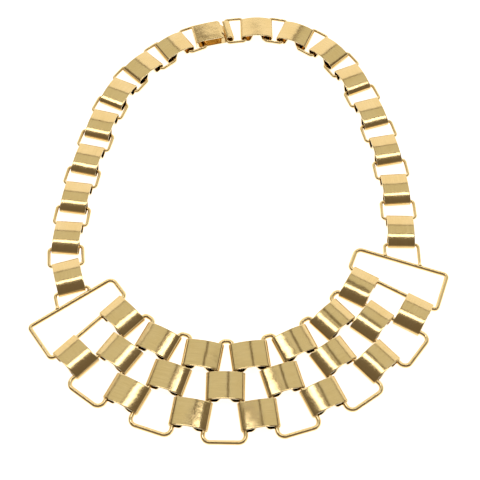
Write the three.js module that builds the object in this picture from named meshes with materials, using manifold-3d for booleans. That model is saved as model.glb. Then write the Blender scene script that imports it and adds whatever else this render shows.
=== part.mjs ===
// Bib necklace of curled brass sheet links on round wire frames, laid flat on a table.
// Millimetres. X to the right, Y from the bib to the clasp, Z up from the table that it lies on.
// Every link stands on its two curled ends at z = 0, and all wires run at mid height through their eyes.
import * as THREE from "three";
import { mergeVertices } from "three/addons/utils/BufferGeometryUtils.js";
import Module from "manifold-3d";

const wasm = await Module();
wasm.setup();

// ---- driving sizes ----
const PLATE = {
  length: 14.5, // over both curled ends
  width: 10.5,
  sheet: 0.45,
  curl: 1.7, // outer radius of the curled ends
  endSlope: 16, // how far the arched front leans, in degrees, where it turns into each curl
  footInner: 3.5, // from the middle to where the flange leaves the table
  roofInner: 1.45, // from the middle to where the flange meets the front
};
const WIRE = { radius: 0.6, sides: 8, z: 1.7 };
const FRAME_WIRE_RADIUS = 0.9;
const RING = { halfWidth: 6.6, length: 8.0, corner: 1.3 };

// The bib is a fan about one point: frames at equal angles, three rows of plates at equal steps outward.
const FAN = { x: -4.2, y: 8.8, pitch: 17.5, firstFrame: -53.4, frames: 8 };
const ROWS = [
  { name: "1", radius: 57.2, firstPlate: 0.5, plates: 7 },
  { name: "2", radius: 68.6, firstPlate: 1, plates: 6 },
  { name: "3", radius: 80.0, firstPlate: 0.5, plates: 7 },
];
// Distances out from the fan's centre, and of each leg from the frame's own centre line.
const FRAME = {
  inner: 50.7,
  outer: 89.2,
  legAtRow1: 3.1,
  legAtRow3: 6.6,
  innerCorner: 1.8,
  outerCorner: 2.5,
};
const END_FRAME = { outer: 86.8, outerCorner: 1.4, legAtInner: 7.1, legAtOuter: 8.4, innerCorner: 2.4 };

// The neck chain is laid out from the clasp, link by link: the direction that each link points in, in degrees,
// and how much shorter than taut the ring before it lies.
const CLASP = { x: -12.2, y: 107.2, heading: 14, eyeBar: 7.45, hookBar: 6.5 };
const RIGHT_SIDE = {
  headings: [1, -23, -47, -66, -73, -79, -86, -91],
  slack: [0.75, 0, 0, 0.4, 0, 0, 0, 0],
};
const LEFT_SIDE = {
  headings: [35, 46, 64, 75, 77, 82, 86, 106],
  slack: [0.2, 1.4, 0.7, 1.4, 1.8, 1.0, 1.1, 0.5],
};
// How far from a link's middle a taut ring's bar lies: against the curl on the link that the ring is joined to,
// and just clear of it on the next. Where the chain bends it lies deeper.
const BAR_SNUG = 6.3;
const BAR_CLEAR = 5.82;

const brass = new THREE.MeshStandardMaterial({ color: "#c8ae6e", roughness: 0.32, metalness: 1.0 });
const wireBrass = new THREE.MeshStandardMaterial({ color: "#ecd596", roughness: 0.18, metalness: 1.0 });

const rad = THREE.MathUtils.degToRad;
const vec = (x, y) => new THREE.Vector2(x, y);
const pointing = (degrees) => vec(Math.cos(rad(degrees)), Math.sin(rad(degrees)));

// ---- solids ----
function toSolid(geometry) {
  const bare = new THREE.BufferGeometry().setAttribute("position", geometry.getAttribute("position").clone());
  if (geometry.index) bare.setIndex(geometry.index.clone());
  const merged = mergeVertices(bare, 1e-4);
  const vertProperties = merged.attributes.position.array;
  const triVerts = new Uint32Array(merged.index.array);
  return new wasm.Manifold(new wasm.Mesh({ numProp: 3, vertProperties, triVerts }));
}

function toGeometry(solid) {
  const { vertProperties, triVerts } = solid.getMesh();
  const geometry = new THREE.BufferGeometry();
  geometry.setAttribute("position", new THREE.BufferAttribute(new Float32Array(vertProperties), 3));
  geometry.setIndex(new THREE.BufferAttribute(new Uint32Array(triVerts), 1));
  geometry.computeVertexNormals();
  return geometry;
}

const join = (...geometries) => toGeometry(geometries.map(toSolid).reduce((a, b) => a.add(b)));

function arc(x, z, radius, from, to, steps) {
  return Array.from({ length: steps + 1 }, (_, i) => {
    const angle = rad(from + ((to - from) * i) / steps);
    return vec(x + radius * Math.cos(angle), z + radius * Math.sin(angle));
  });
}

function bend(start, control, end, steps) {
  return new THREE.QuadraticBezierCurve(start, control, end).getPoints(steps);
}

const mirrored = (points) => points.map((p) => vec(-p.x, p.y)).reverse();

// A section drawn in X and Z, made solid across the link's width and centred on it.
function acrossWidth(outline, holes, width) {
  const shape = new THREE.Shape(outline);
  shape.holes = holes.map((points) => new THREE.Path(points));
  const geometry = new THREE.ExtrudeGeometry(shape, { depth: width, bevelEnabled: false, steps: 1 });
  return geometry.rotateX(Math.PI / 2).translate(0, width / 2, 0);
}

// ---- wire: a route through the corners of an outline, with each corner rounded ----
function roundedCorner(before, corner, after, radius, steps) {
  const a = before.clone().sub(corner).normalize();
  const b = after.clone().sub(corner).normalize();
  const half = Math.acos(THREE.MathUtils.clamp(a.dot(b), -1, 1)) / 2;
  const reach = radius / Math.tan(half);
  const centre = a.clone().add(b).normalize().multiplyScalar(radius / Math.sin(half)).add(corner);
  const start = a.multiplyScalar(reach).add(corner).sub(centre);
  const turn = start.angle();
  let sweep = b.multiplyScalar(reach).add(corner).sub(centre).angle() - turn;
  if (sweep > Math.PI) sweep -= 2 * Math.PI;
  if (sweep < -Math.PI) sweep += 2 * Math.PI;
  return Array.from({ length: steps + 1 }, (_, i) => {
    const angle = turn + (sweep * i) / steps;
    return vec(centre.x + radius * Math.cos(angle), centre.y + radius * Math.sin(angle));
  });
}

// Its parameter steps from one point of the route to the next, so that a sweep has a section at every point.
class WireRoute extends THREE.Curve {
  constructor(points, closed) {
    super();
    this.points = points;
    this.closed = closed;
    this.steps = closed ? points.length : points.length - 1;
  }
  at(i) {
    const count = this.points.length;
    if (this.closed) return this.points[THREE.MathUtils.euclideanModulo(i, count)];
    return this.points[THREE.MathUtils.clamp(i, 0, count - 1)];
  }
  getPoint(t) {
    const p = this.at(Math.round(t * this.steps));
    return new THREE.Vector3(p.x, p.y, WIRE.z);
  }
  getTangent(t) {
    const i = Math.round(t * this.steps);
    const back = this.at(i).clone().sub(this.at(i - 1)).normalize();
    const forth = this.at(i + 1).clone().sub(this.at(i)).normalize();
    const along = back.add(forth).normalize();
    return new THREE.Vector3(along.x, along.y, 0);
  }
  getPointAt(u) {
    return this.getPoint(u);
  }
  getTangentAt(u) {
    return this.getTangent(u);
  }
}

function wire(points, closed, radius) {
  const route = new WireRoute(points, closed);
  const section = new THREE.Shape(arc(0, 0, radius, 0, 360, WIRE.sides).slice(0, -1));
  const swept = new THREE.ExtrudeGeometry(section, { steps: route.steps, extrudePath: route });
  if (!closed) return swept;
  // A closed loop has no ends, so the two lids at its seam are left off and the seam is merged.
  const sides = swept.groups[1];
  const kept = swept.attributes.position.array.slice(sides.start * 3, (sides.start + sides.count) * 3);
  return new THREE.BufferGeometry().setAttribute("position", new THREE.BufferAttribute(kept, 3));
}

function wireLoop(corners, radii, cornerSteps, wireRadius) {
  const count = corners.length;
  const points = corners.flatMap((corner, i) =>
    roundedCorner(corners[(i + count - 1) % count], corner, corners[(i + 1) % count], radii[i], cornerSteps),
  );
  return wire(points, true, wireRadius);
}

// ---- the sheet link ----
// The front is one shallow arch that runs into a curl at each end. Each curl turns under and back along the
// table, then rises as a flange to the underside of the front.
function plateGeometry() {
  const { length, width, sheet, curl, endSlope, footInner, roofInner } = PLATE;
  const curlX = length / 2 - curl;
  const arch = curlX / Math.sin(rad(endSlope)) + curl;
  const archZ = curl - (arch - curl) * Math.cos(rad(endSlope));
  const roofAt = (x) => archZ + Math.sqrt((arch - sheet) ** 2 - x ** 2);
  const flange = (foot, floor, roof) =>
    bend(vec(foot, floor), vec(foot - 1.1, floor), vec(roof, roofAt(roof)), 3).reverse();
  const outerSide = [
    ...flange(footInner, 0, roofInner),
    ...arc(curlX, curl, curl, -90, 90 - endSlope, 6),
  ];
  const front = arc(0, archZ, arch, 90 - endSlope, 90 + endSlope, 6).slice(1, -1);
  const outline = [...outerSide, ...front, ...mirrored(outerSide)];
  const eye = [
    ...flange(footInner + 0.1, sheet, roofInner + 0.7),
    ...arc(curlX, curl, curl - sheet, -90, 90 - endSlope, 5),
    vec(curlX * 0.7, roofAt(curlX * 0.7)),
  ];
  return acrossWidth(outline, [eye, mirrored(eye)], width);
}

function ringGeometry() {
  const x = RING.length / 2;
  const y = RING.halfWidth;
  const corners = [vec(x, y), vec(-x, y), vec(-x, -y), vec(x, -y)];
  return wireLoop(corners, [RING.corner, RING.corner, RING.corner, RING.corner], 2, WIRE.radius);
}

// ---- the bib ----
const fanPoint = (angle, out, side) => {
  const along = pointing(angle - 90);
  return vec(FAN.x + out * along.x - side * along.y, FAN.y + out * along.y + side * along.x);
};

const legAt = (out) => {
  const slope = (FRAME.legAtRow3 - FRAME.legAtRow1) / (ROWS[2].radius - ROWS[0].radius);
  return FRAME.legAtRow1 + slope * (out - ROWS[0].radius);
};

function frameGeometry(angle) {
  const corners = [
    fanPoint(angle, FRAME.inner, -legAt(FRAME.inner)),
    fanPoint(angle, FRAME.outer, -legAt(FRAME.outer)),
    fanPoint(angle, FRAME.outer, legAt(FRAME.outer)),
    fanPoint(angle, FRAME.inner, legAt(FRAME.inner)),
  ];
  const radii = [FRAME.innerCorner, FRAME.outerCorner, FRAME.outerCorner, FRAME.innerCorner];
  return wireLoop(corners, radii, 3, FRAME_WIRE_RADIUS);
}

// An end frame has one leg like the others and one long bar, with a wire bail soldered on for the neck chain.
function endFrameGeometry(angle, side, lastLink) {
  const barInner = fanPoint(angle, FRAME.inner, side * END_FRAME.legAtInner);
  const barOuter = fanPoint(angle, END_FRAME.outer, side * END_FRAME.legAtOuter);
  const corners = [
    barInner,
    barOuter,
    fanPoint(angle, END_FRAME.outer, -side * legAt(END_FRAME.outer)),
    fanPoint(angle, FRAME.inner, -side * legAt(FRAME.inner)),
  ];
  const radii = [END_FRAME.innerCorner, END_FRAME.outerCorner, END_FRAME.outerCorner, FRAME.innerCorner];
  const loop = wireLoop(corners, radii, 3, FRAME_WIRE_RADIUS);
  return join(loop, bailGeometry(lastLink, barInner, barOuter));
}

// The bail crosses the last link's eye and runs down past both its sides onto the end frame's bar.
function bailGeometry(link, barInner, barOuter) {
  const toBib = pointing(link.heading + link.bibSide);
  const across = vec(-toBib.y, toBib.x);
  const bar = barOuter.clone().sub(barInner);
  const inEye = (lateral) =>
    link.middle.clone().addScaledVector(toBib, BAR_CLEAR).addScaledVector(across, lateral);
  const onBar = (from) => {
    const gap = barInner.clone().sub(from);
    return from.clone().addScaledVector(toBib, gap.cross(bar) / toBib.cross(bar));
  };
  const near = inEye(RING.halfWidth);
  const far = inEye(-RING.halfWidth);
  const points = [
    onBar(near),
    ...roundedCorner(onBar(near), near, far, RING.corner, 2),
    ...roundedCorner(near, far, onBar(far), RING.corner, 2),
    onBar(far),
  ];
  return wire(points, false, WIRE.radius);
}

// ---- the neck chain ----
// Walks from the clasp along one side. A ring turns half as far as the links that it joins, so its bars lie
// askew in their eyes and sink in by as much as the turn takes up across half a link's width.
function neckLinks({ headings, slack }, way) {
  const links = [];
  let heading = CLASP.heading;
  let middle = vec(CLASP.x, CLASP.y);
  let barReach = way > 0 ? CLASP.eyeBar : CLASP.hookBar;
  headings.forEach((next, i) => {
    const ringHeading = (heading + next) / 2;
    const sink = (PLATE.width / 2) * Math.tan(rad(Math.abs(heading - next) / 2));
    const bar = middle.clone().addScaledVector(pointing(heading), way * (barReach - slack[i] - sink));
    const ringMiddle = bar.clone().addScaledVector(pointing(ringHeading), (way * RING.length) / 2);
    const nextBar = bar.clone().addScaledVector(pointing(ringHeading), way * RING.length);
    middle = nextBar.clone().addScaledVector(pointing(next), way * (BAR_SNUG - sink));
    links.push({ middle, heading: next, ringMiddle, ringHeading, bibSide: way > 0 ? 0 : 180 });
    heading = next;
    barReach = BAR_CLEAR;
  });
  return links;
}

function placed(geometry, middle, heading) {
  return geometry.clone().rotateZ(rad(heading)).translate(middle.x, middle.y, 0);
}

function neckLinkGeometry(link) {
  return join(
    placed(plateGeometry(), link.middle, link.heading),
    placed(ringGeometry(), link.ringMiddle, link.ringHeading),
  );
}

// ---- the clasp: a base with an eye and a hook, and a cover that folds over them on a pin ----
const FOLD = {
  width: 9.9,
  sheet: 0.45,
  pinX: 3.6,
  pinZ: 3.1,
  pinRadius: 0.6,
  knuckleRadius: 1.35,
  knuckleWidth: 5.0,
  eyeEnd: 8.85,
  eyeTop: 3.45,
  eyeBack: 5.3,
  hookFace: -7.9,
  hookTop: 3.3,
  lipFace: -8.65,
  lipFoot: 0.9,
  gap: 0.3,
  running: 0.2, // round the pin
};

function claspBaseGeometry() {
  const { width, sheet, eyeEnd, eyeTop, eyeBack, hookFace, hookTop } = FOLD;
  const curl = eyeTop / 2;
  const curlX = eyeEnd - curl;
  const hook = 0.9;
  const strap = [
    ...arc(curlX, curl, curl, -90, 90, 6),
    vec(eyeBack, eyeTop),
    vec(eyeBack, eyeTop - sheet),
    ...arc(curlX, curl, curl - sheet, 90, -90, 5),
    ...arc(hookFace + sheet + hook, sheet + hook, hook, -90, -180, 3),
    vec(hookFace + sheet, hookTop),
    vec(hookFace, hookTop),
    ...arc(hookFace + hook + sheet, hook + sheet, hook + sheet, 180, 270, 4),
  ];
  const base = toSolid(acrossWidth(strap, [], width));
  const pinSection = arc(FOLD.pinX, FOLD.pinZ, FOLD.pinRadius, 0, 360, 12).slice(0, -1);
  const pin = toSolid(acrossWidth(pinSection, [], width));
  const lugWidth = (width - FOLD.knuckleWidth) / 2 - FOLD.gap;
  const lugShape = [
    vec(FOLD.pinX - 1.1, 0.2),
    vec(FOLD.pinX + 1.1, 0.2),
    ...arc(FOLD.pinX, FOLD.pinZ, 1.1, 0, 180, 6),
  ];
  const lug = toSolid(acrossWidth(lugShape, [], lugWidth));
  const out = (width - lugWidth) / 2;
  return toGeometry(base.add(pin).add(lug.translate(0, out, 0)).add(lug.translate(0, -out, 0)));
}

// Modelled about its own pin, so that it turns where it stands.
function claspCoverGeometry() {
  const { width, sheet, knuckleRadius, pinRadius, gap } = FOLD;
  const top = knuckleRadius;
  const lip = FOLD.lipFace - FOLD.pinX;
  const corner = 1.1;
  const sheetOutline = [
    ...arc(lip + corner, top - corner, corner, 90, 180, 4),
    vec(lip, FOLD.lipFoot - FOLD.pinZ),
    vec(lip + sheet, FOLD.lipFoot - FOLD.pinZ),
    ...arc(lip + corner, top - corner, corner - sheet, 180, 90, 4),
    vec(-knuckleRadius - gap, top - sheet),
    vec(-knuckleRadius - gap, top),
  ];
  const tongueOutline = [
    vec(-knuckleRadius - gap - 0.2, top - sheet),
    vec(-0.5, top - sheet),
    vec(0, top),
    vec(-knuckleRadius - gap - 0.2, top),
  ];
  const cover = toSolid(acrossWidth(sheetOutline.reverse(), [], width));
  const tongue = toSolid(acrossWidth(tongueOutline, [], FOLD.knuckleWidth));
  const rim = arc(0, 0, knuckleRadius, 0, 360, 16).slice(0, -1);
  const hole = arc(0, 0, pinRadius + FOLD.running, 0, 360, 12).slice(0, -1);
  const knuckle = toSolid(acrossWidth(rim, [hole], FOLD.knuckleWidth));
  return toGeometry(cover.add(tongue).add(knuckle));
}

// ---- the necklace ----
const necklace = new THREE.Group();
const laidOut = new THREE.Group();
necklace.add(laidOut);

function addPiece(name, geometry, material) {
  const mesh = new THREE.Mesh(geometry, material);
  mesh.name = name;
  laidOut.add(mesh);
  return mesh;
}

const leftLinks = neckLinks(LEFT_SIDE, -1);
const rightLinks = neckLinks(RIGHT_SIDE, 1);
leftLinks.forEach((link, i) => addPiece(`neck_link_left_${i + 1}`, neckLinkGeometry(link), brass));
rightLinks.forEach((link, i) => addPiece(`neck_link_right_${i + 1}`, neckLinkGeometry(link), brass));

for (let i = 0; i < FAN.frames; i++) {
  const angle = FAN.firstFrame + i * FAN.pitch;
  const isEnd = i === 0 || i === FAN.frames - 1;
  const side = i === 0 ? -1 : 1;
  const lastLink = i === 0 ? leftLinks.at(-1) : rightLinks.at(-1);
  const geometry = isEnd ? endFrameGeometry(angle, side, lastLink) : frameGeometry(angle);
  addPiece(`bib_frame_${i + 1}`, geometry, wireBrass);
}

ROWS.forEach((row) => {
  for (let i = 0; i < row.plates; i++) {
    const angle = FAN.firstFrame + (row.firstPlate + i) * FAN.pitch;
    const plate = addPiece(`bib_plate_${row.name}_${i + 1}`, plateGeometry(), brass);
    const middle = fanPoint(angle, row.radius, 0);
    plate.position.set(middle.x, middle.y, 0);
    plate.rotation.z = rad(angle);
  }
});

const clasp = new THREE.Group();
clasp.position.set(CLASP.x, CLASP.y, 0);
clasp.rotation.z = rad(CLASP.heading);
laidOut.add(clasp);
const base = addPiece("clasp_base", claspBaseGeometry(), brass);
const cover = addPiece("clasp_cover", claspCoverGeometry(), brass);
cover.position.set(FOLD.pinX, 0, FOLD.pinZ);
clasp.add(base, cover);

// The origin is on the table, under the middle of the necklace's box.
const middle = new THREE.Box3().setFromObject(laidOut, true).getCenter(new THREE.Vector3());
laidOut.position.set(-middle.x, -middle.y, 0);

export default necklace;
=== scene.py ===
# %% [markdown]
# # A bib necklace of curled brass links
#
# This lesson dresses a measured model of a necklace: 36 links of bent brass sheet, the wire rings and
# frames that join them, and a clasp that folds shut. The measured model is loaded first as a fixed frame,
# and every detailed piece made below stands in the place of one of its parts. All sizes are real ones, in
# millimetres until the moment that a mesh is made, and Blender's own unit is the metre.

# %% Load the measured model
import math

import bmesh
import bpy
from mathutils import Matrix, Vector, noise


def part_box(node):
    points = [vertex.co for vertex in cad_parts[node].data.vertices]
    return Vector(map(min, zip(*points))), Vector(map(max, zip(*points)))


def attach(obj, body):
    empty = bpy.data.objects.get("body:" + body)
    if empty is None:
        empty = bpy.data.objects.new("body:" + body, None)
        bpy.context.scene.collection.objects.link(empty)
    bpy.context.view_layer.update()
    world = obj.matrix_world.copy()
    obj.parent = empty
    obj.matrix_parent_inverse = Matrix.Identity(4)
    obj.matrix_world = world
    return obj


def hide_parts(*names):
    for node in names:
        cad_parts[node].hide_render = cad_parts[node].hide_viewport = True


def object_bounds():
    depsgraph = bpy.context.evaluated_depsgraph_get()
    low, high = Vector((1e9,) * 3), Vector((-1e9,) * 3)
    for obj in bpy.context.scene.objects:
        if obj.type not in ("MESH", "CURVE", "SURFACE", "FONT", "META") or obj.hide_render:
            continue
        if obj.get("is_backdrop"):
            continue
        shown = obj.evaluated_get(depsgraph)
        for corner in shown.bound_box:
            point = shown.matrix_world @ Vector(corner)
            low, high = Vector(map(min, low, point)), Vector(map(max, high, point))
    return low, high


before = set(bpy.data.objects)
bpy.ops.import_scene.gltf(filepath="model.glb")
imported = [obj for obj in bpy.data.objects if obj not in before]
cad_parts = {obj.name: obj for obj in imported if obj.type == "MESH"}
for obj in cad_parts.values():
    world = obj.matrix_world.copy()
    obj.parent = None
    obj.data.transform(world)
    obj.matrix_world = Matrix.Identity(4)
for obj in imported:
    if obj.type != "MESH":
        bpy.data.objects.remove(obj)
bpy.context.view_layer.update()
MM = 0.001

# %% [markdown]
# ## Where everything lies
#
# The necklace is laid out by two simple rules, the same as a jeweller would use at the bench. The bib is
# a fan: wire frames stand at equal angles about one point, and three rows of links bridge them. The neck
# chain starts at the clasp and each link is placed after the one before, with a direction and a little
# slack. Rules are easier to read and to change than a list of measured places, and they give a wire the
# exact line that passes through the curled eyes.

# %% The fan of the bib
FAN = Vector((-4.2, 8.8))
PITCH = 17.5
FIRST_FRAME = -53.4
FRAMES = 8
# For each row: its radius, the first link's place in steps of the pitch, and the number of links.
ROWS = {1: (57.2, 0.5, 7), 2: (68.6, 1.0, 6), 3: (80.0, 0.5, 7)}
LEG_AT_ROW_1, LEG_AT_ROW_3 = 3.1, 6.6
WIRE_HEIGHT = 1.7


def pointing(degrees):
    angle = math.radians(degrees)
    return Vector((math.cos(angle), math.sin(angle)))


def fan_point(angle, out, side):
    """A point of the bib: how far out from the fan's centre, and how far to the side of that frame's line."""
    along = pointing(angle - 90)
    return FAN + out * along + side * Vector((-along.y, along.x))


def leg_at(out):
    """A frame's legs spread as they run outward."""
    first, last = ROWS[1][0], ROWS[3][0]
    return LEG_AT_ROW_1 + (LEG_AT_ROW_3 - LEG_AT_ROW_1) * (out - first) / (last - first)


# The whole lay-out is shifted so that it falls on the loaded model: one link near the middle tells by how
# much.
low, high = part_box("bib_plate_2_3")
plate_middle = fan_point(FIRST_FRAME + 3 * PITCH, ROWS[2][0], 0)
SHIFT = Vector(((low.x + high.x) / 2 / MM, (low.y + high.y) / 2 / MM)) - plate_middle
print("shift in mm:", [round(v, 3) for v in SHIFT])

# %% The neck chain, link by link from the clasp
CLASP_MIDDLE = Vector((-12.2, 107.2))
CLASP_HEADING = 14
RING_LENGTH, RING_HALF_WIDTH, RING_CORNER = 8.0, 6.6, 1.3
RING_RADIUS = 0.68
SNUG, CLEAR = 6.3, 5.82  # from a link's middle to the bar of its own ring, and of the next one
HALF_PLATE_WIDTH = 5.25
# For each side: which way it runs, the clasp's reach, each link's direction in degrees, and its slack in
# mm.
SIDES = {
    "right": (1, 7.45, [1, -23, -47, -66, -73, -79, -86, -91], [0.75, 0, 0, 0.4, 0, 0, 0, 0]),
    "left": (-1, 6.5, [35, 46, 64, 75, 77, 82, 86, 106], [0.2, 1.4, 0.7, 1.4, 1.8, 1.0, 1.1, 0.5]),
}


def neck_links(way, reach, headings, slack):
    links = []
    heading, middle = CLASP_HEADING, CLASP_MIDDLE
    for following, loose in zip(headings, slack):
        ring_heading = (heading + following) / 2
        sink = HALF_PLATE_WIDTH * math.tan(math.radians(abs(heading - following) / 2))
        bar = middle + pointing(heading) * way * (reach - loose - sink)
        ring_middle = bar + pointing(ring_heading) * way * RING_LENGTH / 2
        next_bar = bar + pointing(ring_heading) * way * RING_LENGTH
        middle = next_bar + pointing(following) * way * (SNUG - sink)
        links.append((middle, following, ring_middle, ring_heading))
        heading, reach = following, CLEAR
    return links


chain = {side: neck_links(*facts) for side, facts in SIDES.items()}
print("last links:", {side: [round(v, 1) for v in links[-1][0]] for side, links in chain.items()})

# %% [markdown]
# ## One function for a node
#
# Materials and the world's light are built from nodes. One helper adds a node, sets what is given by
# name, and links what is given as another node's output. With that, a material reads from top to bottom
# like a recipe.

# %% Colours and nodes
def linear(colour):
    """An sRGB hex colour as the linear values that Blender's sockets take."""
    parts = [int(colour[i : i + 2], 16) / 255 for i in (1, 3, 5)]
    return [c / 12.92 if c <= 0.04045 else ((c + 0.055) / 1.055) ** 2.4 for c in parts] + [1.0]


def add(tree, kind, inputs=None, **settings):
    """Adds a node. Inputs are values, or outputs of other nodes; settings are the node's own properties."""
    node = tree.nodes.new(kind)
    for name, value in settings.items():
        setattr(node, name, value)
    for name, value in (inputs or {}).items():
        if isinstance(value, bpy.types.NodeSocket):
            tree.links.new(value, node.inputs[name])
        else:
            node.inputs[name].default_value = value
    return node


def new_material(name):
    material = bpy.data.materials.new(name)
    material.use_nodes = True
    material.node_tree.nodes.clear()
    return material, material.node_tree


# %% [markdown]
# ## Sheet brass, gilt, brushed and lacquered
#
# The links are cut from brass strip, brushed along the strip, plated a pale gold and lacquered. Pale gold
# plate gives the light yellow where a link faces a lamp. The brushing leaves fine lines round the bend of
# each link, so a lamp's reflection stays crisp along the bend and is drawn out across it: that is what
# anisotropy does. The real lines are about 0.03 mm apart, too fine to show, so they are drawn about 0.25
# mm apart. Handling has left shallow dents a few millimetres across, which make the bands of light waver,
# and the corners are rubbed bright.

# %% The brushed sheet
sheet_brass, tree = new_material("gilt sheet brass, brushed")
strip = add(tree, "ShaderNodeUVMap", uv_map="strip").outputs["UV"]
place = add(tree, "ShaderNodeTexCoord").outputs["Object"]
# The strip's coordinates are in centimetres: stretched 30 to 1 along it, 40 lines to the centimetre across.
brushed = add(tree, "ShaderNodeMapping", {"Vector": strip, "Scale": (1.3, 40.0, 1.0)}).outputs["Vector"]
lines = add(tree, "ShaderNodeTexNoise", {"Vector": brushed, "Scale": 1.0, "Detail": 3.0, "Roughness": 0.65})
# Dents: the object's coordinates are in metres, so a scale of 260 gives spots about 4 mm across.
dents = add(tree, "ShaderNodeTexNoise", {"Vector": place, "Scale": 260.0, "Detail": 1.5, "Roughness": 0.45})
specks = add(tree, "ShaderNodeTexNoise", {"Vector": place, "Scale": 2200.0, "Detail": 2.0})
patches = add(tree, "ShaderNodeTexNoise", {"Vector": place, "Scale": 150.0, "Detail": 3.0})
tone = add(tree, "ShaderNodeMix",
           {"Factor": patches.outputs["Fac"], "A": linear("#F5DEAC"), "B": linear("#ECD093")},
           data_type="RGBA")
lined = add(tree, "ShaderNodeMix",
            {"Factor": lines.outputs["Fac"], "A": linear("#FFFFFF"), "B": linear("#E3DDD0")},
            data_type="RGBA")
coloured = add(tree, "ShaderNodeMix",
               {"Factor": 1.0, "A": tone.outputs["Result"], "B": lined.outputs["Result"]},
               data_type="RGBA", blend_type="MULTIPLY")
rubbed = add(tree, "ShaderNodeAttribute", attribute_name="edge").outputs["Fac"]
worn = add(tree, "ShaderNodeMix", {"Factor": rubbed, "A": coloured.outputs["Result"], "B": linear("#FBE9BF")},
           data_type="RGBA")
gloss = add(tree, "ShaderNodeMapRange", {"Value": specks.outputs["Fac"], "From Min": 0.35, "From Max": 0.7,
                                         "To Min": 0.09, "To Max": 0.14})
dented = add(tree, "ShaderNodeBump", {"Height": dents.outputs["Fac"], "Strength": 0.1, "Distance": 0.0003})
scored = add(tree, "ShaderNodeBump", {"Height": lines.outputs["Fac"], "Strength": 0.1, "Distance": 0.00005,
                                      "Normal": dented.outputs["Normal"]})
grain = add(tree, "ShaderNodeTangent", direction_type="UV_MAP", uv_map="strip").outputs["Tangent"]
metal = add(tree, "ShaderNodeBsdfPrincipled", {
    "Base Color": worn.outputs["Result"], "Metallic": 1.0, "Roughness": gloss.outputs["Result"],
    "Normal": scored.outputs["Normal"], "Tangent": grain, "Anisotropic": 0.3})
add(tree, "ShaderNodeOutputMaterial", {"Surface": metal.outputs["BSDF"]})
print("made", sheet_brass.name)

# %% [markdown]
# ## Drawn brass wire, gilt and polished
#
# The rings and frames are round wire that was pulled through a die, bent, soldered shut and tumbled
# bright, then plated with the rest. Wire is smoother than the sheet, so its roughness is lower, and the
# plate sits a little deeper in colour on it. Tumbling leaves small soft hollows, about 1 mm across.

# %% The polished wire
wire_brass, tree = new_material("gilt wire brass, tumbled")
place = add(tree, "ShaderNodeTexCoord").outputs["Object"]
hollows = add(tree, "ShaderNodeTexNoise", {"Vector": place, "Scale": 900.0, "Detail": 2.0})
shade = add(tree, "ShaderNodeTexNoise", {"Vector": place, "Scale": 180.0, "Detail": 2.0})
tone = add(tree, "ShaderNodeMix",
           {"Factor": shade.outputs["Fac"], "A": linear("#F8E1B0"), "B": linear("#EFD094")},
           data_type="RGBA")
gloss = add(tree, "ShaderNodeMapRange", {"Value": hollows.outputs["Fac"], "From Min": 0.3, "From Max": 0.7,
                                         "To Min": 0.05, "To Max": 0.1})
bumped = add(tree, "ShaderNodeBump", {"Height": hollows.outputs["Fac"], "Strength": 0.15, "Distance": 0.0001})
metal = add(tree, "ShaderNodeBsdfPrincipled", {
    "Base Color": tone.outputs["Result"], "Metallic": 1.0, "Roughness": gloss.outputs["Result"],
    "Normal": bumped.outputs["Normal"]})
add(tree, "ShaderNodeOutputMaterial", {"Surface": metal.outputs["BSDF"]})
print("made", wire_brass.name)

# %% [markdown]
# ## Bent sheet as a swept strip
#
# Every sheet part of this necklace started as a flat strip and was bent, so it is made the same way here:
# the strip's cross-section, a thin bar with eased corners, is carried along the line that the bend
# follows. A box with a bend modifier or a subdivided cage would need fixing at each curl. The sweep gives
# an even thickness, clean edges that catch the light, and for free it knows how far along and across the
# strip each point lies, which the brushed finish needs.

# %% Sweep a strip along its bend
EASED = 0.13  # radius of the rubbed corners, in mm
WAVER = 0.012  # how far hand work leaves the sheet off true, in mm


def strip_section(width, sheet):
    """The bar's outline as (across, outward, how rubbed): along its outer face, round the edge and back."""
    half, deep = width / 2 - EASED, sheet / 2 - EASED
    face = [-half, -half + 0.3, -half * 0.66, -half * 0.33, 0.0, half * 0.33, half * 0.66, half - 0.3, half]
    outline = [(y, sheet / 2, 0.0) for y in face]
    for step in (30, 60, 90):
        angle = math.radians(step)
        outline.append((half + EASED * math.sin(angle), deep + EASED * math.cos(angle), 1.0))
    for step in (90, 60, 30):
        angle = math.radians(step)
        outline.append((half + EASED * math.sin(angle), -deep - EASED * math.cos(angle), 1.0))
    outline += [(y, -sheet / 2, 0.0) for y in reversed(face)]
    for step in (30, 60, 90):
        angle = math.radians(step)
        outline.append((-half - EASED * math.sin(angle), -deep - EASED * math.cos(angle), 1.0))
    for step in (90, 60, 30):
        angle = math.radians(step)
        outline.append((-half - EASED * math.sin(angle), deep + EASED * math.cos(angle), 1.0))
    return outline


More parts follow.
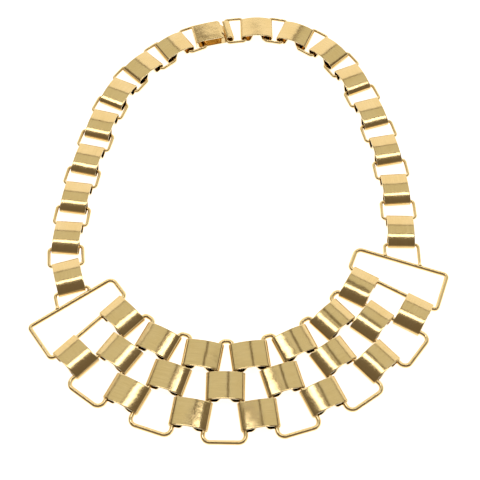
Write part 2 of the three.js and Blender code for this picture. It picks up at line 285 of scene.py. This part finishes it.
def sweep_strip(shape, line, width, sheet, seed=0.0, material=0):
    """Adds a strip to a bmesh. The line's points are (x, z) in mm, mid-thickness."""
    section = strip_section(width, sheet)
    strip_uv = shape.loops.layers.uv.verify()
    edge = shape.verts.layers.float.get("edge") or shape.verts.layers.float.new("edge")
    rows, run, distances = [], 0.0, []
    for i, (x, z) in enumerate(line):
        before, after = line[max(i - 1, 0)], line[min(i + 1, len(line) - 1)]
        along = Vector((after[0] - before[0], after[1] - before[1])).normalized()
        out = Vector((-along.y, along.x))
        if i:
            run += math.dist(line[i - 1], line[i])
        distances.append(run)
        row = []
        for y, lift, rub in section:
            off = WAVER * noise.noise(Vector((x * 0.22, y * 0.2, seed)))
            corner = shape.verts.new(Vector((x + out.x * (lift + off), y, z + out.y * (lift + off))) * MM)
            corner[edge] = rub * 0.8
            row.append(corner)
        rows.append(row)
    count = len(section)
    for i in range(len(rows) - 1):
        for j in range(count):
            k = (j + 1) % count
            corners = (rows[i][j], rows[i][k], rows[i + 1][k], rows[i + 1][j])
            places = ((i, j), (i, k), (i + 1, k), (i + 1, j))
            face = shape.faces.new(corners)
            face.smooth, face.material_index = True, material
            for loop, (a, b) in zip(face.loops, places):
                loop[strip_uv].uv = (distances[a] / 10 + seed, section[b][0] / 10 + seed)
    for row in (rows[0][::-1], rows[-1]):
        end = shape.faces.new(row)
        end.material_index = material


def bend(x, z, radius, start, stop, steps):
    """Points round a bend, by the lean of the sheet: 0 on top, 90 facing along, 180 underneath."""
    turns = [math.radians(start + (stop - start) * i / steps) for i in range(steps + 1)]
    return [(x + radius * math.sin(t), z + radius * math.cos(t)) for t in turns]


# %% [markdown]
# ## Round wire as a swept circle
#
# A curve object with a round bevel would also make a wire, but a mesh lets the wire swell where it is
# soldered and close up its own seam. The wire lies flat, so each ring of points stands upright across its
# path.

# %% Sweep a wire along its path
WIRE_SIDES = 18


def sweep_wire(shape, path, radii, closed, material=0):
    """Adds a round wire to a bmesh. Path points are (x, y, z) in mm, with a radius for each."""
    edge = shape.verts.layers.float.get("edge") or shape.verts.layers.float.new("edge")
    path = [Vector(p) for p in path]
    rings, count = [], len(path)
    for i, point in enumerate(path):
        before = path[i - 1] if closed or i else point
        after = path[(i + 1) % count] if closed or i < count - 1 else point
        along = (after - before).normalized()
        across = Vector((-along.y, along.x, 0)).normalized()
        up = along.cross(across)
        ring = []
        for j in range(WIRE_SIDES):
            turn = 2 * math.pi * j / WIRE_SIDES
            spoke = across * math.cos(turn) + up * math.sin(turn)
            ring.append(shape.verts.new((point + spoke * radii[i]) * MM))
        rings.append(ring)
    for i in range(count if closed else count - 1):
        for j in range(WIRE_SIDES):
            k = (j + 1) % WIRE_SIDES
            there = rings[(i + 1) % count]
            face = shape.faces.new((rings[i][j], rings[i][k], there[k], there[j]))
            face.smooth, face.material_index = True, material
    if not closed:
        for ring in (rings[0][::-1], rings[-1]):
            shape.faces.new(ring).material_index = material


def rounded(corners, radii, closed, steps=7):
    """A path through corners, each turned with its own radius."""
    path, count = [], len(corners)
    for i, corner in enumerate(corners):
        if not closed and i in (0, count - 1):
            path.append(corner)
            continue
        back = (corners[i - 1] - corner).normalized()
        forth = (corners[(i + 1) % count] - corner).normalized()
        half = back.angle(forth) / 2
        start = corner + back * (radii[i] / math.tan(half))
        stop = corner + forth * (radii[i] / math.tan(half))
        centre = corner + (back + forth).normalized() * (radii[i] / math.sin(half))
        for step in range(steps + 1):
            mid = (start - centre).lerp(stop - centre, step / steps)
            path.append(centre + mid.normalized() * radii[i])
    return path


def spaced(path, closed, longest=1.2):
    """The same path with extra points, so that no stretch is longer than this many mm."""
    points = []
    for i, point in enumerate(path):
        following = path[(i + 1) % len(path)]
        points.append(point)
        if i == len(path) - 1 and not closed:
            break
        extra = int((following - point).length / longest)
        points += [point.lerp(following, (j + 1) / (extra + 1)) for j in range(extra)]
    return points


# %% [markdown]
# ## From shape to piece
#
# Each shape is built about its own middle and then put in its place by a matrix, so that one recipe
# serves every link. A finished piece is hung on the body it rides on and gets both brass finishes, and the
# part of the measured model that it stands for is hidden.

# %% Finish a piece
def finish_piece(shape, name, node, body, middle, heading, height=0.0):
    bmesh.ops.recalc_face_normals(shape, faces=shape.faces)
    spot = (middle + SHIFT) * MM
    turned = Matrix.Rotation(math.radians(heading), 4, "Z")
    shape.transform(Matrix.Translation((spot.x, spot.y, height * MM)) @ turned)
    mesh = bpy.data.meshes.new(name)
    shape.to_mesh(mesh)
    shape.free()
    if mesh.uv_layers:
        mesh.uv_layers[0].name = "strip"
    mesh.materials.append(sheet_brass)
    mesh.materials.append(wire_brass)
    piece = bpy.data.objects.new(name, mesh)
    bpy.context.scene.collection.objects.link(piece)
    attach(piece, body)
    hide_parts(node)
    return piece


# %% [markdown]
# ## The link
#
# A link is one strip of 0.45 mm sheet, 10.5 mm wide. Its front is arched like a saddle, each end is
# rolled under into an eye for a wire, and what is left of the strip runs back along the table and up
# behind the front, so the eye is closed and the link stands 4 mm tall. The arch matters most for the
# look: it is what turns one lamp into a band of white, one dark ceiling into a band of brown, and a wall
# into an area of light yellow.

# %% The line that a link's sheet follows
PLATE_LENGTH, PLATE_WIDTH, SHEET = 14.5, 10.5, 0.45
CURL, LEAN = 1.65, 18.0
CURL_X = PLATE_LENGTH / 2 - CURL
ARCH = CURL_X / math.sin(math.radians(LEAN)) + CURL
ARCH_Z = CURL - (ARCH - CURL) * math.cos(math.radians(LEAN))


def quadratic(start, control, stop, steps):
    points = []
    for i in range(steps + 1):
        t = i / steps
        mix = [(1 - t) ** 2 * a + 2 * t * (1 - t) * b + t * t * c for a, b, c in zip(start, control, stop)]
        points.append(tuple(mix))
    return points


def link_line():
    front = bend(0, ARCH_Z, ARCH - SHEET / 2, 0, LEAN, 14)
    curl = bend(CURL_X, CURL, CURL - SHEET / 2, LEAN, 180, 22)[1:]
    tip_z = ARCH_Z + math.sqrt((ARCH - SHEET) ** 2 - 1.8**2) - 0.06
    flange = quadratic((3.55, SHEET / 2), (2.45, SHEET / 2), (1.8, tip_z), 10)
    right = front + curl + [(4.6, SHEET / 2)] + flange
    return [(-x, z) for x, z in right[:0:-1]] + right


LINK_LINE = link_line()
strip_length = sum(math.dist(a, b) for a, b in zip(LINK_LINE, LINK_LINE[1:]))
print("a link's strip is", round(strip_length, 1), "mm long")
print("and stands", round(ARCH_Z + ARCH, 2), "mm tall")

# %% [markdown]
# ## The neck chain
#
# Sixteen links alternate with rectangular wire rings. A ring's two bars lie in the eyes of two links, so
# the chain can fold at each bar. Every ring is kept in one piece with the link after it, as in the
# measured model.

# %% Links and rings of the neck chain
def ring_path(way_x, way_y, turn):
    """The ring's corners in its link's own frame: its middle offset by (x, y) and turned."""
    corners = []
    for x, y in ((1, 1), (-1, 1), (-1, -1), (1, -1)):
        corner = Vector((x * RING_LENGTH / 2, y * RING_HALF_WIDTH))
        corner.rotate(Matrix.Rotation(math.radians(turn), 2))
        corners.append(Vector((way_x + corner.x, way_y + corner.y, WIRE_HEIGHT)))
    return spaced(rounded(corners, [RING_CORNER] * 4, True), True)


piece_number = 0
for side, links in chain.items():
    for i, (middle, heading, ring_middle, ring_heading) in enumerate(links):
        shape = bmesh.new()
        sweep_strip(shape, LINK_LINE, PLATE_WIDTH, SHEET, seed=piece_number * 7.3)
        offset = ring_middle - middle
        offset.rotate(Matrix.Rotation(math.radians(-heading), 2))
        path = ring_path(offset.x, offset.y, ring_heading - heading)
        sweep_wire(shape, path, [RING_RADIUS] * len(path), True, material=1)
        finish_piece(shape, f"neck_plate_and_ring_{side}_{i + 1}", f"neck_link_{side}_{i + 1}", "necklace",
                     middle, heading)
        piece_number += 1
print("neck links:", piece_number)

# %% [markdown]
# ## The links of the bib
#
# Twenty more of the same link bridge the frames in three rows, the middle row set half a step aside, like
# bricks.

# %% Links of the bib
for row, (radius, first, count) in ROWS.items():
    for i in range(count):
        angle = FIRST_FRAME + (first + i) * PITCH
        shape = bmesh.new()
        sweep_strip(shape, LINK_LINE, PLATE_WIDTH, SHEET, seed=piece_number * 7.3)
        finish_piece(shape, f"bib_link_{row}_{i + 1}", f"bib_plate_{row}_{i + 1}", "necklace",
                     fan_point(angle, radius, 0), angle)
        piece_number += 1
print("links in all:", piece_number)

# %% [markdown]
# ## The frames of the bib
#
# Eight long frames of 1.8 mm wire run out from the neck edge to the hem, narrow at the top and wide at
# the bottom. The two at the ends have one long straight bar, and a bail of thinner wire is soldered on
# where the neck chain comes in. Solder creeps up the joint, so the bail's wire swells just before it
# meets the bar.

# %% Frames and bails
FRAME_RADIUS = 0.9
INNER, OUTER, END_OUTER = 50.7, 89.2, 86.8
END_BAR_INNER, END_BAR_OUTER = 7.1, 8.4  # how far the end frames' long bar lies to the side
SOLDER = 0.4  # how much the bail's wire swells at its joint


def flat(point):
    return Vector((point.x, point.y, WIRE_HEIGHT))


for i in range(FRAMES):
    angle = FIRST_FRAME + i * PITCH
    is_end, way = i in (0, FRAMES - 1), (-1 if i == 0 else 1)
    shape = bmesh.new()
    if is_end:
        corners = [fan_point(angle, INNER, way * END_BAR_INNER),
                   fan_point(angle, END_OUTER, way * END_BAR_OUTER),
                   fan_point(angle, END_OUTER, -way * leg_at(END_OUTER)),
                   fan_point(angle, INNER, -way * leg_at(INNER))]
        turns = [2.4, 1.4, 1.4, 1.8]
    else:
        corners = [fan_point(angle, INNER, -leg_at(INNER)), fan_point(angle, OUTER, -leg_at(OUTER)),
                   fan_point(angle, OUTER, leg_at(OUTER)), fan_point(angle, INNER, leg_at(INNER))]
        turns = [1.8, 2.5, 2.5, 1.8]
    here = fan_point(angle, (INNER + OUTER) / 2, 0)
    path = spaced(rounded([flat(c - here) for c in corners], turns, True), True)
    sweep_wire(shape, path, [FRAME_RADIUS] * len(path), True)
    if is_end:
        middle, heading = chain["left" if i == 0 else "right"][-1][:2]
        to_bib = pointing(heading + (180 if i == 0 else 0))
        across = Vector((-to_bib.y, to_bib.x))
        bar = corners[1] - corners[0]
        prongs = []
        for reach in (RING_HALF_WIDTH, -RING_HALF_WIDTH):
            start = middle + to_bib * CLEAR + across * reach
            gap = corners[0] - start
            run = (gap.x * bar.y - gap.y * bar.x) / (to_bib.x * bar.y - to_bib.y * bar.x)
            prongs.append((start, start + to_bib * (run - 0.2)))
        (near, near_end), (far, far_end) = prongs
        route = [flat(p - here) for p in (near_end, near, far, far_end)]
        path = spaced(rounded(route, [0, RING_CORNER, RING_CORNER, 0], False), False, 0.35)
        ends = [min((p - path[0]).length, (p - path[-1]).length) for p in path]
        radii = [RING_RADIUS + SOLDER * max(0.0, 1 - max(0.0, e - 0.5) / 1.1) ** 2 for e in ends]
        sweep_wire(shape, path, radii, False)
    piece = finish_piece(shape, f"bib_wire_frame_{i + 1}", f"bib_frame_{i + 1}", "necklace", here, 0)
    piece.data.materials.pop(index=0)
print("frames:", FRAMES)

# %% [markdown]
# ## The clasp
#
# The clasp is a strap with an eye rolled at one end and a hook turned up at the other, and a cover hinged
# to it on a pin. The last ring drops over the hook, and the cover folds down over both and snaps shut.
# Both parts are bent strips again, and the cover's tongue is rolled round the pin, so it turns where a
# real one would.

# %% Strap, ears and pin
FOLD_WIDTH, FOLD_SHEET = 9.9, 0.45
PIN_X, PIN_Z = 3.6, 3.1
EAR_RADIUS = 0.75
half_sheet = FOLD_SHEET / 2


def slab(shape, outline, start, stop):
    """Adds a flat piece with eased corners: its outline in (x, z), from one y to another, all in mm."""
    sides = [[shape.verts.new(Vector((x, y, z)) * MM) for x, z in outline] for y in (start, stop)]
    faces = [shape.faces.new(sides[0]), shape.faces.new(sides[1][::-1])]
    for i in range(len(outline)):
        k = (i + 1) % len(outline)
        faces.append(shape.faces.new((sides[0][i], sides[1][i], sides[1][k], sides[0][k])))
    rims = {e for f in faces[:2] for e in f.edges}
    bmesh.ops.bevel(shape, geom=list(rims), offset=0.12 * MM, segments=2, affect="EDGES")


shape = bmesh.new()
eye = bend(7.125, 1.725, 1.5, 0, 180, 18)
hook = [(-6.55 + 1.125 * math.cos(a), 1.35 + 1.125 * math.sin(a))
        for a in (math.radians(-90 - 90 * i / 8) for i in range(9))]
strap_line = [(5.3, 3.225), (6.2, 3.225)] + eye + [(3.6, half_sheet), (0.0, half_sheet), (-3.6, half_sheet)]
strap_line += hook + [(-7.675, 2.3), (-7.675, 3.3)]
sweep_strip(shape, strap_line, FOLD_WIDTH, FOLD_SHEET, seed=3.7)
ear = [(PIN_X + EAR_RADIUS, 0.2)]
for i in range(13):
    turn = math.pi * i / 12
    ear.append((PIN_X + EAR_RADIUS * math.cos(turn), PIN_Z + EAR_RADIUS * math.sin(turn)))
ear.append((PIN_X - EAR_RADIUS, 0.2))
for y in (2.8, -4.95):
    slab(shape, ear, y, y + 2.15)
pin = [(y, r) for y, r in ((-4.95, 0.3), (-4.9, 0.48), (-4.75, 0.6), (4.75, 0.6), (4.9, 0.48), (4.95, 0.3))]
sweep_wire(shape, [(PIN_X, y, PIN_Z) for y, r in pin], [r for y, r in pin], False, material=1)
finish_piece(shape, "clasp_strap", "clasp_base", "necklace", CLASP_MIDDLE, CLASP_HEADING)
print("clasp strap made")

# %% The cover that folds down
shape = bmesh.new()
lip_x, top = -8.65 - PIN_X, 1.35
corner = 1.1
COVER_END = 0.0  # above the pin, so the roll round it is hidden from above
cover_line = [(lip_x + half_sheet, -2.2), (lip_x + half_sheet, -1.4), (lip_x + half_sheet, -0.6)]
cover_line += bend(lip_x + corner, top - corner, corner - half_sheet, -90, 0, 10)
span = COVER_END - cover_line[-1][0]
for i in range(1, 17):
    along = i / 16
    cover_line.append((cover_line[12][0] + span * along, top - half_sheet))
settled = []
for x, z in cover_line:
    reach = (x - lip_x) / (COVER_END - lip_x)
    settled.append((x, z - (0.42 * max(0.0, 1 - 1.6 * reach) ** 2 if z > 0.5 else 0.42)))
sweep_strip(shape, settled, FOLD_WIDTH, FOLD_SHEET, seed=9.1)
tongue = [(-2.6, top - 0.5), (-1.6, top - 0.36), (-0.8, top - 0.28)] + bend(0, 0, 1.08, 0, 320, 30)
sweep_strip(shape, tongue, 5.0, 0.5, seed=5.9)
pin_place = CLASP_MIDDLE + pointing(CLASP_HEADING) * PIN_X
finish_piece(shape, "clasp_fold_over_cover", "clasp_cover", "cover", pin_place, CLASP_HEADING, PIN_Z)
print("clasp cover made")

# %% [markdown]
# ## The table
#
# Shiny things for a catalogue are laid on a sheet of white acrylic that is lit from below. It hides hard
# shadows and puts white into every surface that leans towards it. The sheet is a plain plane that gives
# off a little light of its own, and it isn't part of the necklace.

# %% A lit white table
acrylic, tree = new_material("white acrylic, lit from below")
glow = add(tree, "ShaderNodeBsdfPrincipled", {
    "Base Color": linear("#F2F4F6"), "Roughness": 0.6, "Emission Color": linear("#FFFFFF"),
    "Emission Strength": 0.85, "Specular IOR Level": 0.2})
add(tree, "ShaderNodeOutputMaterial", {"Surface": glow.outputs["BSDF"]})
sheet = bmesh.new()
bmesh.ops.create_grid(sheet, x_segments=1, y_segments=1, size=25.0)
table_mesh = bpy.data.meshes.new("table")
sheet.to_mesh(table_mesh)
sheet.free()
table_mesh.materials.append(acrylic)
table = bpy.data.objects.new("table", table_mesh)
bpy.context.scene.collection.objects.link(table)
table.location.z = -0.0001
table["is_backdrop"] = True
print("table made")

# %% [markdown]
# ## The lamps
#
# Polished metal has hardly any colour of its own to show: it shows the room. So the lamps are placed for
# what each link mirrors. A wall of light behind gives the light yellow areas, a narrow dark gap above it
# draws the thin dark line, two dim panels overhead give the khaki, a bright strip in front of them the
# white band, and the dark ceiling in front the brown one. Lamps at the sides and low in front brighten
# the curled ends. They are large and several metres away, so they light softly and evenly.

# %% Softboxes
def softbox(name, middle, width, height, facing, brightness, tint):
    """A rectangular lamp. Its brightness is what a mirror would show of it, so its power follows its area."""
    lamp = bpy.data.lights.new(name, "AREA")
    lamp.shape, lamp.size, lamp.size_y = "RECTANGLE", width, height
    lamp.energy = brightness * math.pi * width * height
    lamp.color = linear(tint)[:3]
    box = bpy.data.objects.new(name, lamp)
    bpy.context.scene.collection.objects.link(box)
    box.location = middle
    box.rotation_euler = facing
    box.visible_camera = False


UP_HEIGHT, BACK, FLANK = 5.0, 5.0, 6.0
down = (0, 0, 0)
from_behind, from_front = (math.radians(-90), 0, 0), (math.radians(90), 0, 0)
from_right, from_left = (math.radians(90), 0, math.radians(90)), (math.radians(90), 0, math.radians(-90))
softbox("rear wall, right", (2.4, BACK, 2.85), 13.2, 5.7, from_behind, 1.0, "#FFFDF8")
softbox("rear wall, left", (-6.6, BACK, 2.85), 4.6, 5.7, from_behind, 0.72, "#FFF8EC")
softbox("overhead strip", (-0.45, 1.1, UP_HEIGHT), 4.5, 0.46, down, 3.5, "#FFFFFF")
softbox("overhead panel, left", (-1.9, 2.82, UP_HEIGHT), 4.3, 2.5, down, 0.6, "#FBFFF0")
softbox("overhead panel, right", (2.4, 2.82, UP_HEIGHT), 3.5, 2.5, down, 0.6, "#FBFFF0")
softbox("right flank", (FLANK, -0.6, 1.7), 8.0, 3.4, from_right, 0.8, "#FFFBF4")
softbox("left flank", (-FLANK, 1.2, 1.5), 6.0, 3.0, from_left, 0.55, "#FFF6E8")
softbox("low front fill", (0.0, -BACK, 0.9), 8.0, 1.8, from_front, 0.35, "#FFF6E8")

world = bpy.data.worlds.new("studio")
bpy.context.scene.world = world
world.use_nodes = True
world.node_tree.nodes.clear()
room = add(world.node_tree, "ShaderNodeBackground", {"Color": linear("#FFE9CC"), "Strength": 0.19})
add(world.node_tree, "ShaderNodeOutputWorld", {"Surface": room.outputs["Background"]})

# %% [markdown]
# ## The camera
#
# The camera looks down at 60 degrees with a longer lens, so that the near and the far end of the necklace
# keep nearly the same scale. Colours are shown without a film curve, so that white metal highlights stay
# white.

# %% Camera
camera_data = bpy.data.cameras.new("camera")
camera_data.lens, camera_data.sensor_width = 71.25, 36.0
camera = bpy.data.objects.new("camera", camera_data)
bpy.context.scene.collection.objects.link(camera)
camera.location = Vector((SHIFT.x, SHIFT.y - 182.36, 327.2)) * MM
target = Vector((SHIFT.x, SHIFT.y, 4.0)) * MM
camera.rotation_euler = (target - camera.location).to_track_quat("-Z", "Y").to_euler()
camera_data.clip_start, camera_data.clip_end = 0.01, 100.0
bpy.context.scene.camera = camera
bpy.context.scene.view_settings.view_transform = "Standard"
print("camera height in mm:", round(camera.location.z / MM, 1))

# %% [markdown]
# ## The size
#
# The dressed necklace must be as large as the measured one. Its size is printed in millimetres.

# %% Print the dressed size
low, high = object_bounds()
print("dressed size in mm:", [round(side / MM, 1) for side in high - low])
